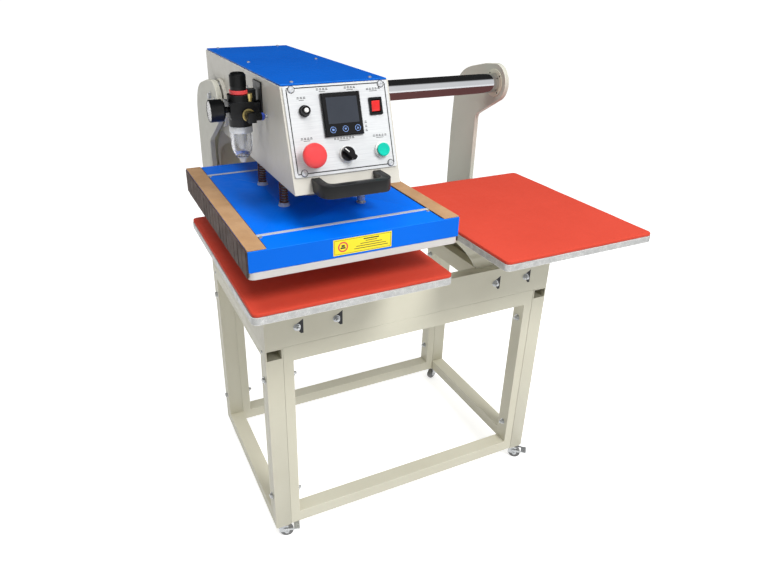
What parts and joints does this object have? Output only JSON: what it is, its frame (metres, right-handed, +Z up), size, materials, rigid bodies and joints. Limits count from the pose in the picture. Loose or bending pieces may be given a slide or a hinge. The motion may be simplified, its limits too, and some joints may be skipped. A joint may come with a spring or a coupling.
{
  "type": "heat press",
  "caption": "Pneumatic heat press on a wheeled stand: one heated head slides along a chrome shaft between two padded lower platens.",
  "frame": {"origin": "on the floor, under the middle of the machine", "axes": "+X to the right of the operator, +Y towards the back, +Z up; the operator stands at -Y"},
  "size_m": [0.926, 0.714, 1.168],
  "materials": {
    "cream_paint": "satin powder coat",
    "grey_paint": "satin powder coat",
    "blue_paint": "semi-gloss paint",
    "platen_aluminium": "brushed",
    "heating_aluminium": "coated cast plate",
    "silver_panel": "satin overlay",
    "silicone": "matte silicone sheet",
    "chrome_shaft": "hard chrome, polished",
    "zinc_steel": "zinc plated",
    "spring_steel": "copper coloured",
    "black_plastic": "fine texture",
    "red_plastic": "gloss",
    "green_plastic": "gloss",
    "white_plastic": "satin",
    "clear_plastic": "clear",
    "tan_board": "matt insulation board",
    "caster_tyre": "matte"
  },
  "bodies": {
    "stand": {"front_frame": "cream_paint", "rear_frame": "cream_paint", "left_side_frame": "cream_paint", "right_side_frame": "cream_paint", "deck_frame": "cream_paint", "left_pedestal": "grey_paint", "right_pedestal": "grey_paint", "left_platen_plate": "platen_aluminium", "right_platen_plate": "platen_aluminium", "left_pad": "silicone", "right_pad": "silicone", "left_upright": "cream_paint", "right_upright": "cream_paint", "guide_shaft": "chrome_shaft", "rear_guide_rail": "zinc_steel"},
    "head": {"head_shell": "grey_paint", "head_top_cover": "blue_paint", "bearing_housing": "zinc_steel", "carriage_arm": "grey_paint", "guide_shoe": "black_plastic", "handle": "black_plastic", "air_cylinder": "platen_aluminium", "regulator_body": "black_plastic", "regulator_bracket": "black_plastic", "gauge_body": "black_plastic", "filter_bowl": "clear_plastic", "air_fitting": "zinc_steel", "air_tube": "clear_plastic", "control_panel": "silver_panel", "temperature_controller": "black_plastic", "rocker_bezel": "black_plastic", "estop_collar": "white_plastic", "selector_ring": "white_plastic", "start_ring": "white_plastic", "return_spring_1": "spring_steel", "return_spring_2": "spring_steel", "return_spring_3": "spring_steel", "return_spring_4": "spring_steel"},
    "press": {"piston_rod": "chrome_shaft", "heating_plate": "heating_aluminium", "platen_cover": "blue_paint", "left_edge_strip": "tan_board", "right_edge_strip": "tan_board"},
    "knob": {"regulator_knob": "black_plastic"},
    "needle": {"gauge_needle": "black_plastic"},
    "drain": {"drain_valve": "white_plastic"},
    "rocker": {"power_rocker": "red_plastic"},
    "estop": {"estop_button": "red_plastic"},
    "start": {"start_button": "green_plastic"},
    "selector": {"selector_knob": "black_plastic"},
    "front_left_fork": {"front_left_caster_fork": "zinc_steel"},
    "front_left_wheel": {"front_left_caster_wheel": "caster_tyre"},
    "front_left_brake": {"front_left_brake_pedal": "zinc_steel"},
    "front_right_fork": {"front_right_caster_fork": "zinc_steel"},
    "front_right_wheel": {"front_right_caster_wheel": "caster_tyre"},
    "front_right_brake": {"front_right_brake_pedal": "zinc_steel"},
    "rear_left_fork": {"rear_left_caster_fork": "zinc_steel"},
    "rear_left_wheel": {"rear_left_caster_wheel": "caster_tyre"},
    "rear_right_fork": {"rear_right_caster_fork": "zinc_steel"},
    "rear_right_wheel": {"rear_right_caster_wheel": "caster_tyre"}
  },
  "joints": [
    {"name": "head_slide", "type": "slide", "parent": "stand", "child": "head", "axis": [1, 0, 0], "range_m": [0, 0.522]},
    {"name": "press_stroke", "type": "slide", "parent": "head", "child": "press", "axis": [0, 0, -1], "range_m": [0, 0.063], "stiffness_N_per_m": 2500, "springref_m": -0.16, "deforming": ["return_spring_1", "return_spring_2", "return_spring_3", "return_spring_4"]},
    {"name": "regulator_turn", "type": "hinge", "parent": "head", "child": "knob", "pos_m": [-0.398, -0.12, 1.15], "axis": [0, 0, 1], "continuous": true},
    {"name": "gauge_needle_turn", "type": "hinge", "parent": "head", "child": "needle", "pos_m": [-0.4535, -0.12, 1.104], "axis": [1, 0, 0], "range_deg": [0, 270]},
    {"name": "drain_press", "type": "slide", "parent": "head", "child": "drain", "axis": [0, 0, 1], "range_m": [0, 0.0025], "stiffness_N_per_m": 400, "springref_m": -0.004},
    {"name": "rocker_tilt", "type": "hinge", "parent": "head", "child": "rocker", "pos_m": [-0.193, -0.25888, 1.11894], "axis": [1, 0, 0], "range_deg": [-18, 0]},
    {"name": "estop_press", "type": "slide", "parent": "head", "child": "estop", "axis": [0, 0.9407, -0.3391], "range_m": [0, 0.006], "stiffness_N_per_m": 800, "springref_m": -0.006},
    {"name": "start_press", "type": "slide", "parent": "head", "child": "start", "axis": [0, 0.9407, -0.3391], "range_m": [0, 0.003], "stiffness_N_per_m": 500, "springref_m": -0.004},
    {"name": "selector_turn", "type": "hinge", "parent": "head", "child": "selector", "pos_m": [-0.259, -0.28764, 1.04799], "axis": [0, -0.9407, 0.3391], "range_deg": [-90, 0]},
    {"name": "front_left_swivel", "type": "hinge", "parent": "stand", "child": "front_left_fork", "pos_m": [-0.365, -0.116, 0.04], "axis": [0, 0, 1], "continuous": true},
    {"name": "front_left_roll", "type": "hinge", "parent": "front_left_fork", "child": "front_left_wheel", "pos_m": [-0.35354, -0.11955, 0.0175], "axis": [0.2955, 0.9553, 0], "continuous": true},
    {"name": "front_left_brake_tip", "type": "hinge", "parent": "front_left_fork", "child": "front_left_brake", "pos_m": [-0.35736, -0.11836, 0.0283], "axis": [0.2955, 0.9553, 0], "range_deg": [0, 10]},
    {"name": "front_right_swivel", "type": "hinge", "parent": "stand", "child": "front_right_fork", "pos_m": [0.365, -0.116, 0.04], "axis": [0, 0, 1], "continuous": true},
    {"name": "front_right_roll", "type": "hinge", "parent": "front_right_fork", "child": "front_right_wheel", "pos_m": [0.37418, -0.12373, 0.0175], "axis": [0.6442, 0.7648, 0], "continuous": true},
    {"name": "front_right_brake_tip", "type": "hinge", "parent": "front_right_fork", "child": "front_right_brake", "pos_m": [0.37112, -0.12115, 0.0283], "axis": [0.6442, 0.7648, 0], "range_deg": [0, 10]},
    {"name": "rear_left_swivel", "type": "hinge", "parent": "stand", "child": "rear_left_fork", "pos_m": [-0.365, 0.337, 0.04], "axis": [0, 0, 1], "continuous": true},
    {"name": "rear_left_roll", "type": "hinge", "parent": "rear_left_fork", "child": "rear_left_wheel", "pos_m": [-0.35395, 0.33233, 0.0175], "axis": [0.3894, 0.9211, 0], "continuous": true},
    {"name": "rear_right_swivel", "type": "hinge", "parent": "stand", "child": "rear_right_fork", "pos_m": [0.365, 0.337, 0.04], "axis": [0, 0, 1], "continuous": true},
    {"name": "rear_right_roll", "type": "hinge", "parent": "rear_right_fork", "child": "rear_right_wheel", "pos_m": [0.35376, 0.33279, 0.0175], "axis": [0.3508, -0.9365, 0], "continuous": true}
  ]
}
